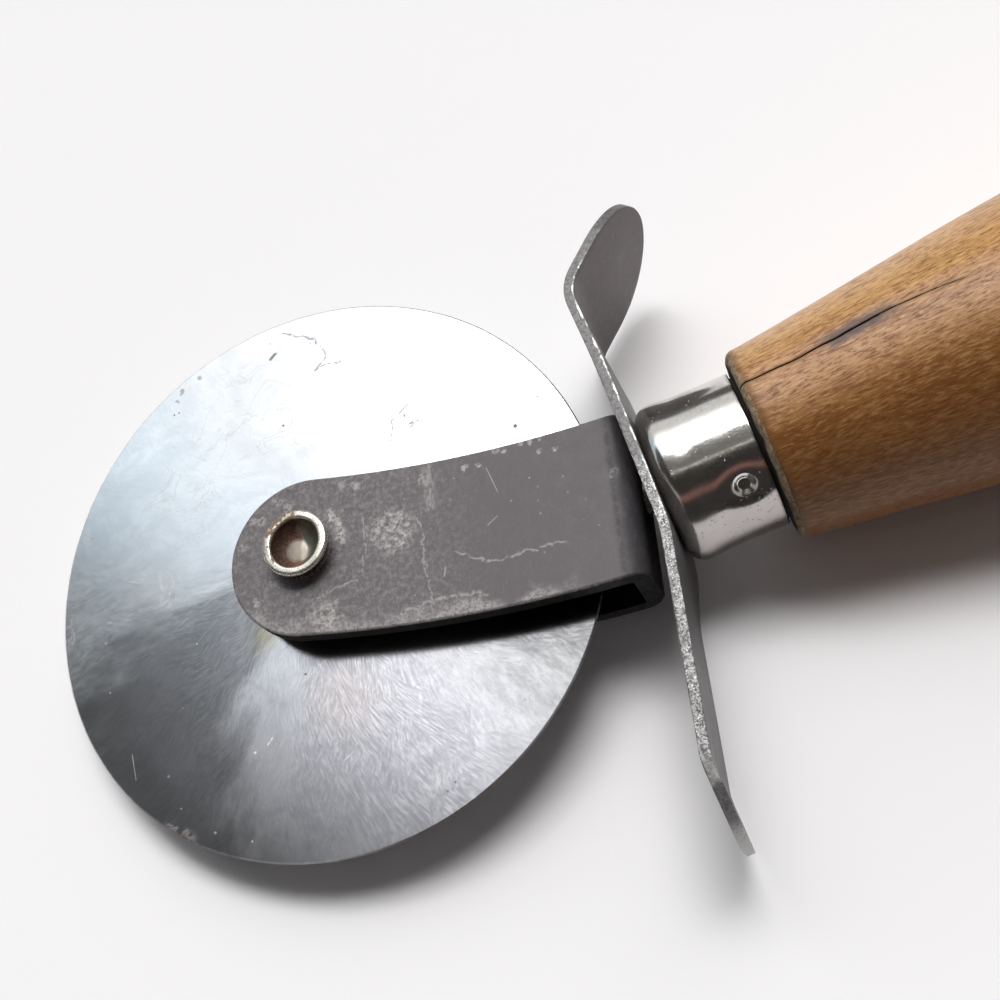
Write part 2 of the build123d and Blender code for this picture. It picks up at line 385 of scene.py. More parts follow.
def window_light(g, z, bearing):
    """Daylight, wider and weaker low down, cool at the left and strongest high up."""
    low = g.ramp(z, 0.69, 0.55)
    window = g.ramp(z, *WINDOW_FOOT) * g.ramp(z, *WINDOW_HEAD)
    border = bearing - low * 0.565 - g.ramp(z, 0.83, 0.87) * 0.1
    window = window * g.ramp(bearing, *WINDOW_RIGHT) * g.ramp(border, *WINDOW_LEFT)
    edge = bearing + g.ramp(z, 0.87, 0.91) * 0.25
    high = g.ramp(edge, 2.02, 1.6) * g.ramp(z, 0.76, 0.86)
    power = WINDOW_POWER - low * LOW_LOSS + high * HIGH_GAIN
    cool = g.mix(g.ramp(z, 0.82, 0.88), (0.74, 0.89, 1.0), (0.93, 0.92, 0.99))
    sky = g.mix(g.ramp(bearing, 1.9, 2.27), (1.0, 0.99, 0.98), cool)
    return g.out("Background", {"Color": sky, "Strength": window * power})


def room_light(g, y, z, bearing, glossy):
    """A dark room: a ceiling with a bright strip, a warm patch, and paler walls for reflections."""
    room = g.mix(g.ramp(y, -0.4, 0.5), (0.032, 0.029, 0.027), (0.085, 0.083, 0.08))
    ceiling = g.ramp(z, 0.93, 0.97)
    strip = g.ramp(g.size(y + 0.195), 0.03, 0.0)
    room = g.mix(ceiling * g.ramp(y, -0.23, -0.17), room, (0.16, 0.155, 0.145))
    room = g.mix(ceiling * strip, room, (1.1, 1.07, 1.0))
    warm = g.ramp(g.size(z - 0.66), 0.11, 0.0) * g.ramp(y, -0.6, -0.7)
    room = g.mix(warm, room, (0.24, 0.115, 0.1))
    walls = g.ramp(g.size(bearing + math.pi / 2), 0.3, 0.62) * g.ramp(y, 0.02, -0.12)
    walls = walls * g.ramp(z, 0.78, 0.66)
    room = g.mix(walls * glossy, room, (0.34, 0.335, 0.33))
    return g.out("Background", {"Color": room, "Strength": 1.0})


def light_world():
    """A world that is lit by the window and the room, and plain white to the camera."""
    g = Graph(bpy.data.worlds.new("studio"))
    x, y, z = g.split(g.out("TexCoord", output="Generated"))
    bearing = g.math("ARCTAN2", y, x)
    bare, glossy = g.rays("Camera", "Glossy")
    light = window_light(g, z, bearing)
    dim = room_light(g, y, z, bearing, glossy)
    lit = g.out("AddShader", {0: light, 1: dim})
    white = g.out("Background", {"Color": (1.0, 1.0, 1.0), "Strength": 1.0})
    g.node("OutputWorld", {"Surface": g.out("MixShader", {0: bare, 1: lit, 2: white})})
    return g.owner


scene.world = light_world()
scene.view_settings.view_transform = "Standard"


# Blade: a ground disc with a thin bright rim, near-radial strokes, dried drops, nicks and specks, and
# painted fans of highlight and shade

BLADE = Sizes(radius=33.0, thick=0.9, bore=4.3, land=0.18, chamfer=0.12, under=0.7, spokes=288)
RIM_WAVE = 0.02
FAN_CUT = 1.0


def blade_rows():
    """A disc with a thin chamfer above, a bevel below and a slightly wavy rim."""
    half = BLADE.thick / 2
    land, under = BLADE.radius - BLADE.land, BLADE.radius - BLADE.under
    outline = [(BLADE.bore, -half), (BLADE.bore, half)]
    outline += [(r, half) for r in spread([BLADE.bore, (land, 1.6)])[1:]]
    outline += [(BLADE.radius, half - BLADE.chamfer), (under, -half)]
    outline += [(r, -half) for r in spread([under, (BLADE.bore, 3.2)])[1:-1]]
    turns = np.linspace(0, math.tau, BLADE.spokes, endpoint=False)
    radius, height = swept(outline, turns)
    rows = about_axle(radius, height, turns)
    at_rim = np.clip((radius - BLADE.radius + 0.5) / 0.3, 0, 1)
    radius = radius - at_rim * RIM_WAVE * (1 + bumps(rows, 1.5, 2.7))
    return about_axle(radius, height, turns)


def blade_drops(g, x, y):
    """Dried drops: broken curls and spots."""
    drops = g.most(
        g.trail(x, y, 0.2, (2.7, 31.3), (6.6, 28.7), (7.3, 25.6), (5.6, 24.5), (8.9, 24.2)),
        g.trail(x, y, 0.18, (12.2, 11.4), (12.7, 13.6), (14.9, 14.6)),
        g.trail(x, y, 0.18, (14.9, 12.6), (16.4, 10.9), (15.9, 8.05)),
        g.specks(x, y, 0.45, (14.2, 13.6), (14.6, 12.0), (-11.5, 29.8), (-8.8, 30.6), (-12.3, 28.7)))
    return drops * g.ramp(g.noise(2.2), 0.36, 0.56)


def blade_nicks(g, x, y):
    """Bright nicks and short scratches."""
    nicks = g.most(
        g.stroke(x, y, (-10.4, -17.1), (-11.05, -17.6), 0.16),
        g.specks(x, y, 0.2, (-12.7, -17.9), (-19.1, -24.6)),
        g.trail(x, y, 0.15, (-3.15, -22.5), (-2.0, -22.1), (-1.0, -21.1)),
        g.trail(x, y, 0.12, (3.6, -20.6), (4.1, -21.8)),
        g.trail(x, y, 0.08, (18.4, -23.6), (17.9, -25.05)),
        g.trail(x, y, 0.07, (-27.0, -15.5), (-26.9, -12.5)),
        g.specks(x, y, 0.14, (1.7, -27.2), (-16.6, -3.05), (-28.2, -4.4), (-22.4, -20.6), (-15.2, -27.0)))
    return nicks * g.ramp(g.noise(3.0), 0.34, 0.54, 0.3, 1.0)


def painted_light_fans(g, reach, bearing, spokes):
    """Painted dark and bright fans, a painted shade and a painted highlight that stand in for the
    reflections of ground steel, with ragged edges.
    """
    fan = g.math("WRAP", bearing, FAN_CUT + math.tau, FAN_CUT) - math.pi
    fan = fan + (g.noise(1.0, 5.0, 0.65, at=spokes) - 0.5) * 0.75
    # painted shade in a dark fan and painted highlight in a bright fan, standing in for reflected light
    painted_shade = g.ramp(fan - reach * 0.015, -0.56, -0.21) * g.ramp(fan - reach * 0.022, 0.5, 0.18)
    painted_shade = g.most(painted_shade, g.ramp(fan, 2.15, 2.52) * g.ramp(fan, 3.6, 3.0) * g.ramp(reach, 14.0, 25.0))
    painted_highlight = g.ramp(fan, 0.85, 1.35) * g.ramp(fan, 2.2, 1.75)
    return painted_shade, painted_highlight


def blade_steel():
    """Ground steel, stroked outwards from the axle, with stains, marks of use and painted fans of highlight
    and shade.
    """
    g, x, y, _ = material("blade_steel")
    x, y = x - AXLE.x, y - AXLE.y
    reach = g.hypot(x, y)
    bearing = g.math("ARCTAN2", y, x)
    swerve = g.math("LOGARITHM", reach, math.e)

    def drawn_out(angle, size, share):
        """A place for noise drawn out along the radius, with no seam round the disc."""
        return g.join(g.math("COSINE", angle) * size, g.math("SINE", angle) * size, reach * share)

    ring = drawn_out(bearing - 0.35 * swerve, 20.0, 0.15)
    counter = drawn_out(bearing + 0.25 * swerve, 20.0, 0.24)
    patches = g.ramp(g.noise(0.16, 3.0, 0.6, 0.8), 0.46, 0.56)
    strokes = g.blend(patches, g.noise(4.2, 3.0, 0.62, at=ring), g.noise(3.2, 4.0, 0.68, at=counter))
    fine = g.noise(12.0, 2.0, 0.6, at=ring)
    cloud = g.noise(0.1, 4.0, 0.6, 0.8)
    tint = g.noise(0.06)
    smudge = g.noise(0.13, 4.0, 0.62, 1.5)
    blotch = g.noise(0.2, 6.0, 0.72, 0.6)
    ground = g.ramp(y + (cloud - 0.5) * 14.0, 6.0, -8.0, 0.3, 1.0)
    drift = g.noise(0.55) - 0.5
    xs, ys = x + drift * 1.6, y + drift * 1.1
    film = g.size(g.noise(0.17, 3.0, 0.55, 1.2) - 0.5)
    film = g.ramp(film, 0.0, 0.02, 1.0, 0.0) * g.ramp(tint, 0.48, 0.62) * g.ramp(y, -4.0, 6.0)
    drops = blade_drops(g, xs, ys)
    nicks = blade_nicks(g, x, y)
    specks = g.ramp(g.cells(0.55), 0.1, 0.05) * g.ramp(g.noise(0.16, 1.0), 0.56, 0.66)
    specks = g.most(specks, g.stroke(xs, ys, (1.15, 29.0), (0.57, 28.7), 0.3),
                    g.spot(x, y, (26.0, 6.35), 0.1, 0.42))
    land = BLADE.radius - BLADE.land
    rim = g.ramp(reach, land - 0.02, land + 0.03)
    rust = g.spot(x, y, (-23.0, -23.0), 0.5, 2.6) * g.ramp(reach, 31.6, 32.8)
    rust = rust * g.ramp(g.noise(1.2, 3.0), 0.4, 0.55)
    painted_shade, painted_highlight = painted_light_fans(g, reach, bearing, drawn_out(bearing, 7.0, 0.1))

    tone = g.layers(
        g.mix(g.ramp(smudge, 0.35, 0.65), (0.57, 0.585, 0.6), (0.66, 0.67, 0.68)),
        (g.ramp(strokes, 0.5, 0.32) * ground * 0.4, (0.47, 0.48, 0.505)),
        (g.ramp(strokes, 0.5, 0.7) * ground * 0.4, (0.74, 0.75, 0.76)),
        (g.ramp(fine, 0.4, 0.75, 0.0, 0.3) * ground, (0.82, 0.82, 0.82)),
        (g.ramp(cloud, 0.35, 0.7, 0.0, 0.18), (0.52, 0.53, 0.55)),
        (g.ramp(tint, 0.45, 0.7, 0.0, 0.15), (0.66, 0.6, 0.55)),
        (g.spot(xs, ys, (-1.4, -15.9), 1.0, 6.5) * 0.4, (0.7, 0.59, 0.53)),
        (g.spot(xs, ys, (-8.7, -5.4), 0.3, 2.6) * 0.55, (0.55, 0.49, 0.22)),
        (film * 0.15, (0.44, 0.44, 0.46)),
        (drops * 0.7, (0.42, 0.41, 0.45)),
        (specks * 0.85, (0.07, 0.065, 0.06)),
        (nicks * 0.8, (0.8, 0.81, 0.82)),
        (rim * 0.6, (0.62, 0.62, 0.63)),
        # the fans' painted shade and painted highlight
        (painted_shade * g.ramp(strokes, 0.34, 0.7, 0.82, 0.5), (0.12, 0.122, 0.127)),
        (painted_highlight * g.ramp(strokes, 0.62, 0.36, 0.0, 0.48), (0.36, 0.365, 0.385)),
        (painted_highlight * g.ramp(strokes, 0.5, 0.7, 0.0, 0.28), (0.93, 0.92, 0.93)),
        (g.ramp(blotch, 0.52, 0.36) * ground * 0.35, (0.36, 0.365, 0.38)),
        (rust * 0.9, (0.09, 0.045, 0.025)))

    dull = 0.165 + g.ramp(strokes, 0.3, 0.7, 0.03, -0.02)
    dull = dull + g.ramp(cloud, 0.3, 0.7, -0.006, 0.012) + film * 0.05
    dull = dull + drops * 0.6 + rust * 0.4 + nicks * 0.3 + rim * 0.15 + specks * 0.4
    residue = g.ramp(drops, 0.15, 0.55)
    metal = 1.0 - g.most(nicks * 0.4, residue * 0.55, film * 0.12, specks * 0.9, rust * 0.8)
    lie = g.bump((strokes * 0.5 + fine * 0.5) * ground, 0.0028)
    return surface(g, tone, dull, lie, Metallic=metal, Anisotropic=0.5, Anisotropic_Rotation=0.25,
                   Tangent=g.out("Tangent", direction_type="RADIAL", axis="Z"))


skin("blade_skin", ["blade"], blade_rows(), [blade_steel()], closed=True, sharp=15.0,
     body="wheel")


# Fork: dull plating with scuffs along its edge, a worn patch by the rivet, specks and scratches, and painted
# shade on its bend, crease and hidden faces

SKEW = math.radians(12.5)
STRAP = Sizes(half=9.1, end=(0.4, -0.8), bow=(18.9, 147.43), bow_radius=149.38, bend=2.4, bend_u=35.0,
              bend_z=3.0)


def fork_rubs(g, u, v, us, vs, brushed, worn, flecked):
    """Where the plating is rubbed thin: along the edges, by the rivet and across the arm."""
    aside = g.size(g.hypot(u - STRAP.bow[0], v - STRAP.bow[1]) - STRAP.bow_radius)
    beyond = g.hypot(u - STRAP.end[0], v - STRAP.end[1])
    inset = STRAP.half - g.blend(g.ramp(u, 0.3, 0.5), beyond, aside)
    border = inset - (g.noise(0.3, 4.0, 0.6) - 0.4) * 7.0
    low_edge = g.ramp(border, 1.3, -0.6) * g.ramp(v, -4.5, -7.0) * g.ramp(u, 32.0, 25.0)
    low_edge = low_edge * g.ramp(flecked, 0.36, 0.62, 0.15, 1.0)
    scuff = g.spot(us, vs, (2.4, -8.4), 0.6, 3.0) * g.ramp(worn, 0.34, 0.6)
    scuff = scuff * g.ramp(flecked, 0.34, 0.58, 0.3, 1.0)
    rubbed = g.trail(us, vs, 0.35, (10.6, -9.6), (13.5, -8.9), (16.5, -8.6), (20.5, -9.2))
    rubbed = rubbed * g.ramp(flecked, 0.38, 0.56)
    all_edge = g.ramp(inset, 0.4, 0.0) * g.ramp(worn, 0.46, 0.6)
    patch = g.spot(us, vs, (10.4, 0.0), 1.6, 3.4) * g.ramp(worn, 0.36, 0.62)
    patch = patch * g.ramp(flecked, 0.36, 0.6, 0.25, 1.0)
    fade = g.trail(us, vs, 0.9, (15.0, 6.5), (15.0, 1.9)) * g.ramp(brushed, 0.42, 0.6)
    collar = g.trail(us, vs, 1.0, (3.4, 3.4), (4.3, 2.2), (4.5, 0.4)) * g.ramp(flecked, 0.38, 0.6)
    return g.most(low_edge * 0.6, scuff * 0.9, rubbed * 0.6, all_edge * 0.5, patch * 0.85, fade * 0.45,
                  collar)


def fork_marks(g, u, v, us, vs, worn, flecked):
    """Blots, chips, dots and scratches in the plating, each with the share of pale that it shows."""
    blots = g.specks(us, vs, 0.75, (-4.9, 4.4), (-7.2, 1.8), (-5.9, 4.65), (-2.8, 6.2), (-1.6, 5.35),
                     (4.8, 6.8), (6.6, 6.2), (14.3, 5.25), (-5.6, -5.2), (35.3, 1.4))
    blots = blots * g.ramp(flecked, 0.38, 0.58)
    chips = g.specks(us, vs, 0.42, (19.2, 5.5), (20.6, 5.7), (22.9, 6.7), (23.7, 6.5), (25.5, 6.95),
                     (26.7, 6.9), (27.8, 7.0), (27.6, 5.6), (29.3, 5.5))
    chips = chips * g.ramp(flecked, 0.36, 0.54)
    dots = g.specks(u, v, 0.16, (24.0, 0.6), (27.0, 1.6), (26.9, 0.0), (30.15, 0.25), (32.0, -0.9),
                    (31.45, -3.2), (33.0, -4.1), (33.7, -4.8), (29.8, 2.15), (26.2, 2.8), (27.0, -1.5),
                    (25.8, -5.5), (27.0, -5.9), (7.2, 4.9), (4.9, 3.6), (12.1, 3.4), (17.3, 2.2),
                    (9.4, -6.6), (12.6, -7.8), (17.9, 4.6))
    dots = dots * g.ramp(flecked, 0.36, 0.62)
    cuts = g.most(
        g.trail(us, vs, 0.2, (17.2, -3.7), (19.3, -4.9), (21.6, -5.85), (25.8, -5.3), (29.5, -5.2)),
        g.trail(us, vs, 0.18, (7.3, 2.6), (7.3, -1.3), (6.7, -4.05)),
        g.trail(us, vs, 0.17, (13.45, 0.9), (13.9, -1.3), (13.9, -4.0), (14.3, -7.6), (14.6, -9.2)),
        g.trail(us, vs, 0.16, (1.6, -5.9), (6.1, -4.7))) * g.ramp(worn, 0.38, 0.52)
    cuts = g.most(cuts, g.stroke(u, v, (16.2, -5.4), (16.0, -6.3), 0.17),
                  g.stroke(u, v, (21.6, 5.0), (22.6, 2.0), 0.1),
                  g.stroke(u, v, (21.2, -1.6), (22.3, -0.8), 0.12))
    return blots * 0.55, chips * 0.6, dots * 0.55, cuts * 0.5


def fork_steel():
    """Dull plating with painted shade on the bend, at its crease and on the cut and inner faces. u runs
    along the strap from the axle to the handle, and v across it.
    """
    g, x, y, z = material("fork_steel")
    x, y = x - AXLE.x, y - AXLE.y
    u = x * math.cos(SKEW) - y * math.sin(SKEW)
    v = x * math.sin(SKEW) + y * math.cos(SKEW)
    us = u + (g.noise(0.9) - 0.5) * 1.3
    vs = v + (g.noise(0.9, at=g.join(v, u, z)) - 0.5) * 1.3
    grime = g.noise(0.55, 5.0, 0.65)
    brushed = g.noise(1.0, 4.0, 0.65, 0.5, at=g.join(u * 3.2, v * 0.8, z))
    worn = g.noise(1.5, 5.0, 0.7)
    flecked = g.noise(3.6, 4.0, 0.65)
    mottled = g.ramp(u, 24.0, 9.0)
    pale = g.most(fork_rubs(g, u, v, us, vs, brushed, worn, flecked),
                  *fork_marks(g, u, v, us, vs, worn, flecked))
    # painted shade in the crease where the bend starts
    painted_crease_shade = g.ramp(g.size(u - STRAP.bend_u + (grime - 0.5) * 0.8), 0.55, 0.0) * g.ramp(worn, 0.35, 0.6)
    # painted shade on the cut sides and inner faces, which lie below the outer skin
    past_u, past_z = g.most(u - STRAP.bend_u, 0.0), g.most(g.size(z) - STRAP.bend_z, 0.0)
    below_skin = STRAP.bend - g.hypot(past_u, past_z)
    painted_face_shade = g.ramp(below_skin, 0.1, 0.3)

    streaks = g.ramp(brushed, 0.38, 0.72, 0.0, 0.3) * (0.25 + mottled * 0.75)
    flecks = g.ramp(flecked, 0.56, 0.7, 0.0, 0.5) * (0.2 + mottled * 0.8)
    # painted shade on the bend, which turns away from the light
    bend = g.ramp(u, 34.2, 36.0) * g.ramp(brushed, 0.3, 0.6, 0.6, 0.8)
    tone = g.layers(
        g.mix(g.ramp(grime, 0.3, 0.7), (0.118, 0.108, 0.115), (0.15, 0.139, 0.146)),
        (streaks, (0.255, 0.24, 0.247)),
        (g.ramp(worn, 0.44, 0.68, 0.0, 0.55) * mottled, (0.3, 0.285, 0.285)),
        (flecks, (0.36, 0.345, 0.34)),
        (pale, (0.47, 0.45, 0.43)),
        (bend, (0.044, 0.042, 0.046)),
        (painted_crease_shade * 0.45, (0.03, 0.028, 0.03)),
        (painted_face_shade * 0.97, (0.007, 0.0065, 0.007)))
    dull = 0.58 + g.ramp(grime, 0.3, 0.7, -0.08, 0.08) - pale * 0.12
    lie = g.bump(brushed * 0.25 + worn * 0.75, 0.02)
    return surface(g, tone, dull, lie, Metallic=0.25, Specular_IOR_Level=0.22)


wear(nodes["fork"], fork_steel())


# Rivet: a clinched tube end, silvery at its lip and rusty in its hollow, with painted shade under its lip

RIVET = Sizes(radius=3.1, head=5.2, head_edge=0.15, dome=10.4, neck=3.45, lip=3.85, lip_round=0.35, cup=2.8,
              cup_round=0.3, well=1.15, depth=2.0, spokes=112)
ARM, SEAT = 5.4, 0.03
WELL_SHIFT = (-0.45, -0.11)
rivet_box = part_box("axle_rivet")
RIVET_FOOT, RIVET_RIM = rivet_box[0][2] / MM, rivet_box[1][2] / MM


def rivet_shape():
    """Rows and marks of a domed head, a shank and a clinched end whose hollow runs a little aslant."""
    seat = -ARM - SEAT
    dome_end = math.degrees(math.asin(RIVET.head / RIVET.dome))
    lip_middle = (RIVET.lip - RIVET.lip_round, RIVET_RIM - RIVET.lip_round)
    cup_middle = (RIVET.cup + RIVET.cup_round, RIVET_RIM - RIVET.cup_round)
    outline = [(0.0, RIVET_FOOT)]
    outline += arc((0.0, RIVET_FOOT + RIVET.dome), RIVET.dome, -90.0, -90.0 + dome_end, 9)[1:]
    outline += [(RIVET.head, seat - RIVET.head_edge), (RIVET.head - RIVET.head_edge, seat)]
    outline += [(RIVET.radius, seat)]
    outline += [(RIVET.radius, z) for z in np.linspace(-ARM, ARM, 7)]
    outline += [(RIVET.neck, z) for z in np.linspace(ARM + SEAT, RIVET_RIM - 1.0, 5)]
    outline += [(RIVET.lip - 0.2, RIVET_RIM - 0.75), (RIVET.lip, RIVET_RIM - 0.5)]
    outline += arc(lip_middle, RIVET.lip_round, 0.0, 90.0, 6)
    outline += [(RIVET.lip - 0.5, RIVET_RIM), (RIVET.cup + 0.4, RIVET_RIM)]
    outline += arc(cup_middle, RIVET.cup_round, 90.0, 180.0, 6)
    lip_rows = len(outline)
    for t in np.linspace(0, 1, 15)[1:]:
        sink = RIVET.cup_round + (RIVET.depth - RIVET.cup_round) * math.sin(t * math.pi / 2)
        outline.append((RIVET.cup + (RIVET.well - RIVET.cup) * t ** 1.5, RIVET_RIM - sink))
    wall_rows = len(outline)
    outline += [(RIVET.well * t, RIVET_RIM - RIVET.depth + 0.08 * (1 - t * t))
                for t in (0.85, 0.6, 0.3, 0.0)]
    turns = np.linspace(0, math.tau, RIVET.spokes, endpoint=False)
    radius, height = swept(outline, turns)
    order = np.arange(len(outline))[:, None]
    in_cup = order >= lip_rows
    sunk = np.clip((cup_middle[1] - height) / (RIVET.depth - RIVET.cup_round), 0, 1) * in_cup

    def aslant(radius, height):
        rows = about_axle(radius, height, turns)
        rows[..., 0] += sunk * WELL_SHIFT[0]
        rows[..., 1] += sunk * WELL_SHIFT[1]
        return rows

    rows = aslant(radius, height)
    above = np.clip((height - ARM - 0.4) / 0.8, 0, 1)
    at_rim = np.clip((height - RIVET_RIM + 0.8) / 0.8, 0, 1)
    inside = in_cup * (radius > 0)
    radius = radius + above * (1 - inside) * (radius > 1.5) * 0.04 * (bumps(rows, 1.6, 3.1) - 0.6)
    radius = radius - inside * 0.05 * bumps(rows, 0.9, 7.7)
    height = height + at_rim * 0.06 * (bumps(rows, 2.6, 5.3) - 0.7)
    height = height + inside * 0.04 * bumps(rows, 0.8, 9.9)
    marks = {name: np.clip((order - first + 3) / 3.0, 0, 1) + 0 * turns
             for name, first in (("hollow", lip_rows), ("well", wall_rows))}
    return aslant(radius, height), marks


def rivet_metal():
    """Worn silvery plating, with rust in the hollow's left side and in spots on the lip, and painted shade
    on the neck under the lip.
    """
    g, x, y, z = material("rivet_metal")
    x, y = x - AXLE.x, y - AXLE.y
    around = g.most(g.hypot(x, y), 0.2)
    leftward = (y * 0.42 - x * 0.91) / around
    upward = (y * 0.91 + x * 0.42) / around
    stain = g.noise(1.1, 5.0, 0.65)
    grain = g.noise(4.0, 4.0, 0.6)
    hollow, well = g.mark("hollow"), g.mark("well")
    ridge = g.ramp(z, ARM + 0.3, ARM + 1.2)
    red = hollow * (1.0 - well * 0.7) * g.ramp(leftward - upward * 0.2 + (stain - 0.5) * 1.6, -0.34, 0.15)
    spots = g.ramp(stain + leftward * 0.12 + upward * 0.09, 0.55, 0.65) * ridge * (1.0 - hollow)
    # neck: painted shade on the wall under the overhanging lip
    neck = g.ramp(z, RIVET_RIM - 0.55, RIVET_RIM - 0.95) * ridge * (1.0 - hollow)
    rusty = g.most(red, spots)

    silver = g.mix(g.ramp(grain, 0.35, 0.7), (0.48, 0.445, 0.385), (0.67, 0.635, 0.575))
    dark_rust = g.ramp(grain + leftward * 0.12, 0.66, 0.36)
    dark_rust = g.mix(dark_rust, (0.036, 0.01, 0.006), (0.21, 0.072, 0.032))
    pale_rust = g.mix(g.ramp(grain, 0.3, 0.7), (0.07, 0.03, 0.015), (0.3, 0.17, 0.09))
    tone = g.layers(
        g.mix(hollow * 0.85, silver, (0.2, 0.19, 0.148)),
        (well * 0.9, (0.44, 0.405, 0.335)),
        (red * 0.92, dark_rust),
        (spots * 0.85, pale_rust),
        (neck, (0.05, 0.045, 0.04)))
    dull = 0.24 + g.ramp(grain, 0.3, 0.7, -0.03, 0.06) + rusty * 0.35 + hollow * 0.12
    metal = g.ramp(g.most(rusty, well * 0.6), 0.2, 0.8, 0.9, 0.15)
    lie = g.bump(grain * 0.4 + stain * 0.6, 0.012)
    return surface(g, tone, dull, lie, Metallic=metal)


rows, marks = rivet_shape()
skin("rivet_skin", ["axle_rivet"], rows, [rivet_metal()], sharp=50.0, marks=marks)


# Guard: a bent strip with smooth dull faces and a rough sheared edge

GUARD = Sizes(width=18.2, thick=1.1, corner=0.13, below=7.8, wing=23.6, wing_angle=11.0, tip=7.5,
              tip_angle=3.0, end_radius=10.7, above=22.4, flare=14.4, flare_angle=45.0,
              bends=(6.5, 12.0, 4.5))
GUARD_HALF = GUARD.width / 2
GUARD_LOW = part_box("guard")[0][1] / MM
GUARD_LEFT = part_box("guard")[0][0] / MM
PATH_STEP = 0.02
EDGE_ROUGHNESS, FACE_DENTS = 0.07, 0.03


def rounded(points, radii):
    """Points close together along a line whose corners are rounded."""
    points = [np.array(p, float) for p in points]
    run = [points[0]]
    for before, corner, after, radius in zip(points, points[1:], points[2:], radii):
        a = (before - corner) / np.linalg.norm(before - corner)
        b = (after - corner) / np.linalg.norm(after - corner)
        half = math.acos(np.clip(a @ b, -1, 1)) / 2
        middle = corner + (a + b) / np.linalg.norm(a + b) * radius / math.sin(half)
        first, last = corner + a * radius / math.tan(half), corner + b * radius / math.tan(half)
        start = math.atan2(*(first - middle)[::-1])
        sweep = (math.atan2(*(last - middle)[::-1]) - start + math.pi) % math.tau - math.pi
        count = max(4, int(abs(sweep) * radius / PATH_STEP))
        run += [middle + radius * np.array([math.cos(t), math.sin(t)])
                for t in start + sweep * np.linspace(0, 1, count)]
    run.append(points[-1])
    return np.array(run)


def guard_path():
    """The strip's back line seen along the axle, from the long wing's tip to the flare's end."""
    wing, tip, flare = np.radians([GUARD.wing_angle, GUARD.tip_angle, GUARD.flare_angle]).tolist()
    wing_end = (-GUARD.wing * math.sin(wing), -GUARD.below - GUARD.wing * math.cos(wing))
    tip_end = (wing_end[0] + GUARD.tip * math.sin(tip), wing_end[1] - GUARD.tip * math.cos(tip))
    flare_end = (GUARD.flare * math.sin(flare), GUARD.above + GUARD.flare * math.cos(flare))
    return rounded([tip_end, wing_end, (0, -GUARD.below), (0, GUARD.above), flare_end], GUARD.bends)


def guard_widths(total):
    """Stations along the strip, close together at its rounded ends, and its half width at each."""
    half, end = GUARD_HALF, GUARD.end_radius
    low_end = end * (1 - np.cos(np.linspace(0, math.asin(half / end), 34)))
    high_end = total - half * (1 - np.cos(np.linspace(math.pi / 2, 0, 44)))
    stations = np.r_[low_end, spread([low_end[-1], (high_end[0], 0.25)])[1:-1], high_end]
    widths = np.full(len(stations), half)
    near = stations < low_end[-1]
    widths[near] = np.sqrt(np.maximum(end ** 2 - (end - stations[near]) ** 2, 0))
    near = stations > high_end[0]
    widths[near] = np.sqrt(np.maximum(half ** 2 - (stations[near] - high_end[0]) ** 2, 0))
    widths[[0, -1]] = 0
    return stations, widths


def guard_section(widths):
    """The points round each station: depth, level, which are on an edge, and the share of corner."""
    thick, corner = GUARD.thick, GUARD.corner
    edge_depth = [0.0, 0.3 * corner] + np.linspace(corner, thick - corner, 7).tolist()
    edge_depth += [thick - 0.3 * corner, thick]
    edge_inset = [corner, 0.3 * corner] + [0.0] * 7 + [0.3 * corner, corner]
    face_share = np.array([-0.9, -0.72, -0.5, -0.25, 0.0, 0.25, 0.5, 0.72, 0.9])
    on_edge = np.repeat([1.0, 0.0, 1.0, 0.0], [11, 9, 11, 9])
    depth = np.array(edge_depth + [thick] * 9 + edge_depth[::-1] + [0.0] * 9)
    cut = np.minimum(1.0, widths / (4 * corner))[:, None]
    top = widths[:, None] - cut * np.array(edge_inset)
    flat = widths[:, None] - cut * corner
    level = np.hstack([top, -flat * face_share, -top[:, ::-1], flat * face_share])
    return np.broadcast_to(depth, level.shape), level, on_edge, cut


def guard_shape():
    """Rows, kinds and marks of the strip, its wings leaning back a little more than its middle."""
    path = guard_path()
    run = lengths(path)
    stations, widths = guard_widths(run[-1])
    spine = at_lengths(path, run, stations)
    course = at_lengths(path, run, stations + PATH_STEP) - at_lengths(path, run, stations - PATH_STEP)
    course /= np.linalg.norm(course, axis=1)[:, None]
    across = np.stack([-course[:, 1], course[:, 0]], axis=-1)
    lean = np.radians(-1.0 + 4.5 * ease(spine[:, 1], -2.0, -14.0) + 4.5 * ease(spine[:, 1], 16.0, 24.0))
    bow = -0.4 * np.exp(-((spine[:, 1] - 21.0) / 6.0) ** 2)

    def placed(depth, level):
        flat = spine[:, None] + across[:, None] * depth[..., None]
        back = flat[..., 0] - (GUARD_HALF - level) * np.tan(lean)[:, None] + bow[:, None]
        return np.stack([np.maximum(back, GUARD_LEFT), np.maximum(flat[..., 1], GUARD_LOW), level], axis=-1)

    depth, level, on_edge, cut = guard_section(widths)
    rows = placed(depth, level)
    within = (depth > 0.05) * (depth < GUARD.thick - 0.05)
    rough_edge = on_edge * within * np.minimum(1, widths / 0.5)[:, None]
    level = level - np.sign(level) * rough_edge * EDGE_ROUGHNESS * (0.5 + 0.5 * bumps(rows, 0.34, 1.7))
    inward = (1 - on_edge) * np.where(depth > GUARD.thick / 2, -1, 1)
    depth = depth + inward * FACE_DENTS * (0.5 + 0.5 * bumps(rows, 6.0, 4.2)) * cut
    kinds = np.where((on_edge > 0) & (np.roll(on_edge, -1) > 0), 1, 0)
    return placed(depth, level), kinds, {"from_back": depth / GUARD.thick}


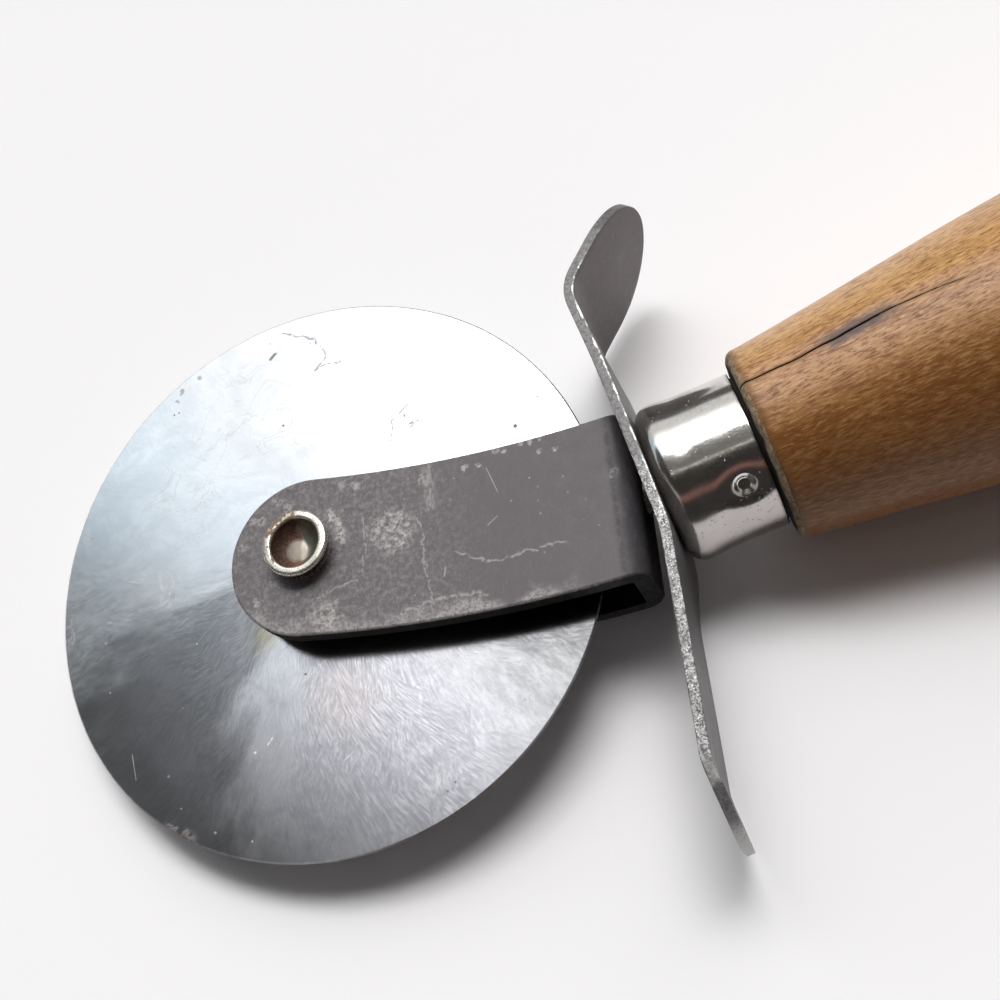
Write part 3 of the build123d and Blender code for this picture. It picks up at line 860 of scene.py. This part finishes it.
def guard_face():
    """Dull plating with rubbed streaks and grit."""
    g, x, y, z = material("guard_steel")
    cloud = g.noise(0.22, 4.0, 0.55)
    grime = g.noise(1.1, 5.0, 0.65)
    rubs = g.noise(1.0, 3.0, 0.6, at=g.join(x * 0.6, y * 0.6, z * 4.0))
    grit = g.ramp(g.cells(0.9), 0.16, 0.07) * g.ramp(grime, 0.55, 0.66)
    tone = g.layers(
        g.mix(g.ramp(cloud, 0.35, 0.65), (0.105, 0.098, 0.102), (0.15, 0.142, 0.146)),
        (g.ramp(grime, 0.4, 0.75, 0.0, 0.3), (0.2, 0.19, 0.19)),
        (g.ramp(rubs, 0.55, 0.8, 0.0, 0.25), (0.3, 0.29, 0.29)),
        (grit * 0.5, (0.45, 0.44, 0.43)))
    dull = 0.5 + g.ramp(cloud, 0.3, 0.7, -0.07, 0.07)
    lie = g.bump(rubs * 0.4 + grime * 0.6, 0.015)
    return surface(g, tone, dull, lie, Metallic=0.35)


def guard_edge():
    """Rough metal, bright along the long wing, darker above and at the tip, with a bright seam."""
    g, _, y, _ = material("guard_edge")
    grain = g.noise(2.9, 4.0, 0.62, 0.8)
    fine = g.noise(5.4, 3.0, 0.6)
    pits = g.ramp(g.cells(2.2), 0.26, 0.1)
    sway = y + (g.noise(0.3) - 0.5) * 7.0
    sheared = g.ramp(sway, 1.5, -3.5) * g.ramp(sway, -33.0, -30.0)
    clumps = g.ramp(g.noise(0.9, 3.0, 0.6), 0.4, 0.6, 0.35, 1.0)
    tip = g.ramp(y + (grain - 0.5) * 3.0, -29.6, -32.6)
    end = g.ramp(y + (grain - 0.5) * 1.6, GUARD_LOW + 2.3, GUARD_LOW + 0.9)
    seam = g.mark("from_back") + (g.noise(1.4, 3.0) - 0.5) * 0.5
    seam = g.ramp(seam, 0.2, 0.08) * g.ramp(y, 27.0, 23.0) * g.ramp(y, -9.0, -5.0)

    upper = g.mix(g.ramp(grain, 0.35, 0.65), (0.1, 0.096, 0.098), (0.205, 0.199, 0.198))
    upper = g.mix(g.ramp(fine, 0.6, 0.72, 0.0, 0.35), upper, (0.5, 0.49, 0.48))
    bright = g.mix(g.ramp(grain, 0.4, 0.62), (0.075, 0.072, 0.073), (0.33, 0.325, 0.322))
    bright = g.mix(g.ramp(fine, 0.54, 0.63, 0.0, 0.8) * clumps, bright, (0.8, 0.795, 0.79))
    dark_tip = g.mix(g.ramp(grain, 0.3, 0.7), (0.12, 0.115, 0.116), (0.25, 0.243, 0.242))
    tone = g.layers(
        g.mix(sheared, upper, bright),
        (tip, dark_tip),
        (end, (0.5, 0.49, 0.485)),
        (pits * 0.55, (0.06, 0.058, 0.058)),
        (seam * g.ramp(g.noise(0.55, 5.0, 0.7), 0.44, 0.58), (0.9, 0.9, 0.89)))
    dull = 0.5 - g.most(sheared * 0.06, seam * 0.14)
    lie = g.bump(grain * 0.7 + fine * 0.3, 0.06)
    return surface(g, tone, dull, lie, Metallic=0.45)


rows, kinds, marks = guard_shape()
skin("guard_skin", ["guard"], rows, [guard_face(), guard_edge()], kinds=kinds, sharp=60.0,
     marks=marks)


# Ferrule: a bright drawn cup with fine pits and one punched dimple in a shallow dent, darker along its
# underside by painted shade

FERRULE = Sizes(radius=8.55, wall=0.6, front=0.03, end=11.0, shoulder=2.0, hole=2.3, lip=0.18, bead=0.22,
                bead_from=2.2, bead_run=2.9)
DIMPLE = Sizes(station=8.12, turn=math.radians(135.0), floor=0.5, pit=1.35, pit_depth=0.42, dent=3.2,
               dent_depth=0.22)
FERRULE_WAVE = 0.012


def ferrule_rows():
    """A cup with a soft bead at its shoulder, finely divided round its dimple."""
    f = FERRULE
    bead, inner = f.radius + f.bead, f.radius - f.wall
    outline = [(f.front, r) for r in np.linspace(f.hole, bead - f.shoulder, 9)]
    outline += arc((f.front + f.shoulder, bead - f.shoulder), f.shoulder, 180.0, 90.0, 18)[1:]
    outline += [(f.bead_from + f.bead_run * t, f.radius + f.bead * (1 + math.cos(math.pi * t)) / 2)
                for t in np.linspace(0, 1, 13)]
    stations = spread([f.bead_from + f.bead_run, (5.4, 0.3), (6.9, 0.17), (9.4, 0.1), (f.end - f.lip, 0.17)])
    outline += [(s, f.radius) for s in stations[1:]]
    outline += arc((f.end - f.lip, f.radius - f.lip), f.lip, 90.0, 0.0, 5)[1:]
    outline += [(f.end, inner), (f.front + f.wall, inner)]
    outline += [(f.front + f.wall, r) for r in np.linspace(inner, f.hole, 5)[1:]]
    turns = [-math.pi, (-0.4, 0.055), (-0.16, 0.02), (0.16, 0.0115), (0.4, 0.02), (math.pi, 0.055)]
    turns = DIMPLE.turn + spread(turns)[:-1]
    along, girth = swept(outline, turns)
    away = np.hypot(along - DIMPLE.station, (turns - DIMPLE.turn) * f.radius)
    outer = (girth > f.radius - 0.3) * (along > 1.3)
    dent = DIMPLE.dent_depth * np.cos(np.clip(away / DIMPLE.dent, 0, 1) * math.pi / 2) ** 2
    pit = DIMPLE.pit_depth * ease(away, DIMPLE.pit, DIMPLE.floor)
    wave = FERRULE_WAVE * (1 + bumps(about_handle(along, girth, turns), 4.0, 2.2))
    return about_handle(along, girth - outer * (dent + pit + wave), turns)


def ferrule_plate():
    """Bright plating with frosty grain, pits, a stained front, a dark line at the wood, and painted shade
    that darkens the reflection along its lower side.
    """
    g, x, y, z = material("ferrule_plate")
    low_side = y / FERRULE.radius
    # under: painted shade on the lower side, darkening its reflection, where more pits lie too
    under = g.ramp(low_side, -0.72, -0.86)
    grain = g.noise(5.0, 3.0, 0.6)
    film = g.noise(0.35, 4.0, 0.6)
    hair = g.noise(1.0, at=g.join(x * 0.5, y * 7.0, z * 7.0))
    pits = g.ramp(g.cells(1.5), 0.13, 0.05) * g.ramp(g.noise(0.5), 0.46, 0.58)
    low_pits = under * g.ramp(g.cells(2.6), 0.2, 0.08) * g.ramp(g.noise(0.8), 0.44, 0.56)
    pits = g.most(pits, low_pits)
    frost = g.ramp(g.noise(4.6, 4.0, 0.7), 0.52, 0.7)
    frost = frost * g.ramp(g.noise(0.45, 3.0), 0.3, 0.62, 0.25, 1.0)
    frost = frost * g.ramp(low_side, -0.68, -0.35, 0.12, 1.0)

    tone = g.layers(
        g.mix(g.ramp(film, 0.35, 0.7), (0.8, 0.79, 0.76), (0.68, 0.665, 0.63)),
        # painted shade on the lower side
        (under * 0.85, (0.42, 0.385, 0.38)),
        (g.ramp(grain, 0.55, 0.75, 0.0, 0.25), (0.5, 0.48, 0.44)),
        (frost * 0.45, (0.5, 0.485, 0.45)),
        (pits * 0.85, (0.1, 0.09, 0.08)),
        (g.ramp(x + (grain - 0.5) * 0.5, 10.55, 10.9) * 0.75, (0.1, 0.09, 0.08)),
        (g.ramp(x + (film - 0.5) * 1.2, 2.0, 0.9) * 0.35, (0.36, 0.32, 0.28)))
    dull = 0.1 + g.ramp(film, 0.3, 0.7, 0.0, 0.06) + g.ramp(grain, 0.4, 0.75, 0.0, 0.08)
    dull = dull + pits * 0.4 + frost * 0.12
    metal = 1.0 - g.most(frost * 0.12, pits * 0.5)
    lie = g.bump(1.0 - pits, 0.03, g.bump(grain * 0.7 + hair * 0.3, 0.003))
    return surface(g, tone, dull, lie, Metallic=metal)


skin("ferrule_skin", ["ferrule"], ferrule_rows(), [ferrule_plate()], closed=True,
     sharp=35.0)


# Handle: turned wood under worn varnish, with end grain at its front, a crack along the grip, painted sheen
# above and painted shade below

HANDLE = Sizes(front=11.3, nose=9.4, spigot_front=0.93, spigot=7.92, bore=2.13, bore_depth=55.0,
               middle=66.0, behind=100.0)
# Along the handle: the crack's bearing in degrees, and its half width
CRACK = np.array([(11.3, 76.5), (14.8, 77.6), (17.9, 78.6), (20.1, 78.2), (21.8, 78.5), (23.8, 77.9),
                  (25.9, 77.6), (28.0, 77.9), (30.5, 79.0), (32.9, 80.4), (34.9, 82.0), (42.0, 83.5)])
CRACK_HALF = np.array([(11.3, 0.11), (18.0, 0.11), (22.0, 0.14), (25.0, 0.13), (28.0, 0.08), (31.0, 0.05),
                       (34.0, 0.03), (38.5, 0.0)])
CRACK_SLOPE, NO_CRACK = 3.2, 9.0
BARE_EDGE = 1.2


def handle_curve():
    """The CAD node's turned outline, from nose to butt, and the lengths run along it."""
    shell = np.array([v.co[:] for v in nodes["handle"].data.vertices]) / MM
    girth = np.hypot(shell[:, 1], shell[:, 2])
    grip = (girth > HANDLE.nose - 0.01) & (shell[:, 0] > HANDLE.front - 0.01)
    turned = grip | (shell[:, 0] > HANDLE.behind)
    ahead = HANDLE.middle - shell[turned, 0]
    lift = np.arctan2(girth[turned], ahead)
    length = np.hypot(girth[turned], ahead)
    order = np.argsort(lift)
    lifts = np.linspace(lift.min(), lift.max(), 6000)
    length = np.interp(lifts, lift[order], length[order])
    curve = np.stack([HANDLE.middle - length * np.cos(lifts), length * np.sin(lifts)], axis=-1)
    run = lengths(curve)
    steps = spread([0.0, (1.9, 0.2), (31.0, 0.35), (100.0, 1.0), (run[-1], 0.7)])
    return at_lengths(curve, run, steps), steps


def handle_shape():
    """Rows, kinds and marks of the handle, finely divided along its crack and chipped at its nose."""
    curve, steps = handle_curve()
    butt = curve[-1]
    bore_end = HANDLE.spigot_front + HANDLE.bore_depth
    outline = [(bore_end, 0.0), (bore_end, HANDLE.bore), (HANDLE.spigot_front, HANDLE.bore),
               (HANDLE.spigot_front, HANDLE.spigot)]
    outline += [(HANDLE.front, r) for r in np.linspace(HANDLE.spigot, HANDLE.nose, 8)[:-1]]
    front_rows = len(outline)
    outline = np.array(outline + curve.tolist() + [(butt[0], butt[1] * s) for s in (0.75, 0.5, 0.25, 0.0)])
    aside = spread([0.0, (0.3, 0.05), (0.7, 0.1), (1.4, 0.2), (3.0, 0.4)]) / 11.5
    turns = np.r_[-aside[:0:-1], aside, spread([aside[-1], (math.tau - aside[-1], 0.085)])[1:-1]]
    along, girth = swept(outline, turns)
    bearing = np.radians(np.interp(outline[:, 0], *CRACK.T))[:, None] + turns
    rows = about_handle(along, girth, bearing)

    wander = 0.07 * bumps(np.stack([along, 0 * along, 0 * along], axis=-1), 1.6, 8.8)
    beside = np.where(turns > math.pi, turns - math.tau, turns) * girth - wander
    opening = np.interp(outline[:, 0], *CRACK_HALF.T)[:, None] + 1e-6
    skinned = np.arange(len(outline))[:, None] >= front_rows - 3
    carve = np.clip(1 - np.abs(beside) / opening, 0, 1) * opening * CRACK_SLOPE * skinned
    nose = np.clip(1 - np.abs(along - HANDLE.front) / 1.4, 0, 1) * (girth > HANDLE.spigot + 0.8)
    chips = np.clip(bumps(rows, 1.5, 6.6) + 0.45 * bumps(rows, 0.5, 1.1) - 0.12, 0, 1)
    uneven = (along > 13.0) * 0.03 * (1 + bumps(rows, 7.0, 0.4)) * (girth > 1)
    girth = girth - carve - nose * chips * 0.55 - uneven
    along = along + nose * chips * 0.35 + nose * 0.05 * (1 + bumps(rows, 0.4, 3.3))

    kinds = np.zeros(len(outline) - 1, int)[:, None] + 0 * turns
    kinds[:front_rows + int(np.searchsorted(steps, BARE_EDGE))] = 1
    # the crack's depth share, which paints it near-black as grime and painted shade
    crack_grime_and_shade = np.clip(carve / np.maximum(opening * 1.1, 1e-3), 0, 1) * skinned * (opening > 0.01)
    marks = {"crack": np.where(skinned, beside, NO_CRACK), "crack_grime_and_shade": crack_grime_and_shade}
    return about_handle(along, girth, bearing), kinds, marks


def handle_wood():
    """Brown wood with short dashes and a stain at the crack, paler above by painted sheen and darker below
    by painted shade, with a painted pink reflection beside the crack and the crack painted near-black as
    grime and shade.
    """
    g, x, y, z = material("handle_wood")
    off, crack_grime_and_shade = g.mark("crack"), g.mark("crack_grime_and_shade")
    gap = g.size(off)
    sway = (g.noise(1.0, at=g.join(x * 0.22, y * 0.35, z * 0.35)) - 0.5) * 2.6
    fibre = g.join(x * 0.7, y * 4.5 + sway, z * 4.5 + sway)
    dashes = g.noise(1.0, 3.0, 0.6, 0.3, at=fibre)
    lines = g.noise(1.0, 3.0, 0.55, at=g.join(x * 0.22, y * 2.6, z * 2.6 + sway))
    figure = g.noise(1.0, 4.0, 0.6, 0.6, at=g.join(x * 0.06, y * 0.5, z * 0.5))
    zone = g.noise(1.0, at=g.join(x * 0.03, y * 0.15, z * 0.15))
    # lift: which way the surface faces, from the lit top to the shaded bottom, for painted sheen and painted
    # shade
    lift = y / g.most(g.hypot(y, z), 1.0) * g.ramp(x, 118.0, 70.0)
    stain = gap + (g.noise(0.8, 3.0, at=fibre) - 0.5) * 2.0
    stain = g.ramp(stain, 1.5, 0.3) * g.ramp(x, 19.0, 22.0) * g.ramp(x, 30.0, 25.5)

    tone = g.layers(
        g.mix(g.ramp(figure, 0.32, 0.68), (0.27, 0.108, 0.028), (0.47, 0.225, 0.068)),
        (g.ramp(zone, 0.35, 0.65, 0.0, 0.4), (0.53, 0.285, 0.105)),
        # a painted pink reflection of the varnish in a band beside the crack
        (g.ramp(off, 7.0, 1.0) * g.ramp(off, -3.0, -0.5) * 0.35, (0.64, 0.43, 0.31)),
        (g.ramp(off, -1.2, -2.6) * g.ramp(off, -7.0, -4.5) * 0.45, (0.52, 0.29, 0.085)),
        # painted sheen on the upper side
        (g.ramp(lift, 0.2, 0.95) * 0.45, (0.8, 0.575, 0.39)),
        (g.ramp(dashes, 0.53, 0.62, 0.0, 0.55), (0.72, 0.44, 0.22)),
        (g.ramp(dashes, 0.47, 0.38, 0.0, 0.68), (0.17, 0.06, 0.014)),
        (g.ramp(lines, 0.46, 0.3, 0.0, 0.4), (0.19, 0.07, 0.018)),
        # painted shade on the lower side
        (g.ramp(lift, 0.1, -0.7) * 0.64, (0.115, 0.034, 0.006)),
        (stain * 0.85, (0.115, 0.102, 0.112)),
        (g.ramp(gap, 0.45, 0.05, 0.0, 0.45) * g.ramp(x, 41.0, 33.0), (0.12, 0.06, 0.03)),
        (g.ramp(x + (lines - 0.5) * 0.6, 12.9, 12.2) * 0.55, (0.15, 0.075, 0.03)),
        # the crack painted near-black, as grime in it and painted shade
        (crack_grime_and_shade, (0.012, 0.008, 0.006)))
    dull = 0.42 + g.ramp(dashes, 0.35, 0.7, 0.06, -0.05) + stain * 0.15 + crack_grime_and_shade * 0.4
    lie = g.bump(dashes * 0.6 + lines * 0.4, 0.03)
    return surface(g, tone, dull, lie, Specular_IOR_Level=0.24, Coat_Weight=0.02, Coat_Roughness=0.35)


def end_grain():
    """Bare, porous wood at the handle's front, black beside the ferrule."""
    g, _, y, z = material("end_grain")
    fibre = g.noise(2.2, 5.0, 0.7)
    pores = g.ramp(g.cells(3.2), 0.32, 0.12)
    tone = g.layers(
        g.mix(g.ramp(fibre, 0.35, 0.65), (0.15, 0.108, 0.064), (0.4, 0.31, 0.205)),
        (pores * 0.5, (0.08, 0.066, 0.045)),
        (g.ramp(g.hypot(y, z), 9.6, 9.25) * 0.95, (0.012, 0.009, 0.007)),
        # the crack painted near-black where it reaches the end grain, as grime and painted shade
        (g.ramp(g.mark("crack_grime_and_shade"), 0.0, 1.0, 0.0, 0.9), (0.012, 0.008, 0.006)))
    lie = g.bump(fibre * 0.7 + (1.0 - pores) * 0.3, 0.1)
    return surface(g, tone, 0.85, lie)


rows, kinds, marks = handle_shape()
skin("handle_skin", ["handle"], rows, [handle_wood(), end_grain()], kinds=kinds, sharp=55.0,
     marks=marks)


# Hidden and half-hidden steel: bush, spacer rings and tang

def turned_steel(name, dark, pale):
    """Plain turned or drawn steel with fine rings, stains and a little rust."""
    g, x, y, z = material(name)
    rings = g.noise(1.0, at=g.join(x * 0.3, y * 0.3, z * 6.0))
    stain = g.noise(0.8, 4.0, 0.6)
    tone = g.layers(
        g.mix(g.ramp(rings, 0.35, 0.7), dark, pale),
        (g.ramp(stain, 0.52, 0.68, 0.0, 0.6), (0.13, 0.075, 0.045)))
    dull = 0.42 + g.ramp(stain, 0.4, 0.7, 0.0, 0.25)
    lie = g.bump(rings * 0.5 + stain * 0.5, 0.02)
    return surface(g, tone, dull, lie, Metallic=0.9)


bush_steel = turned_steel("bush_steel", (0.22, 0.215, 0.21), (0.42, 0.41, 0.4))
for name in ("axle_bush", "upper_spacer", "lower_spacer"):
    wear(nodes[name], bush_steel)
wear(nodes["tang"], turned_steel("tang_steel", (0.18, 0.175, 0.17), (0.36, 0.35, 0.34)))
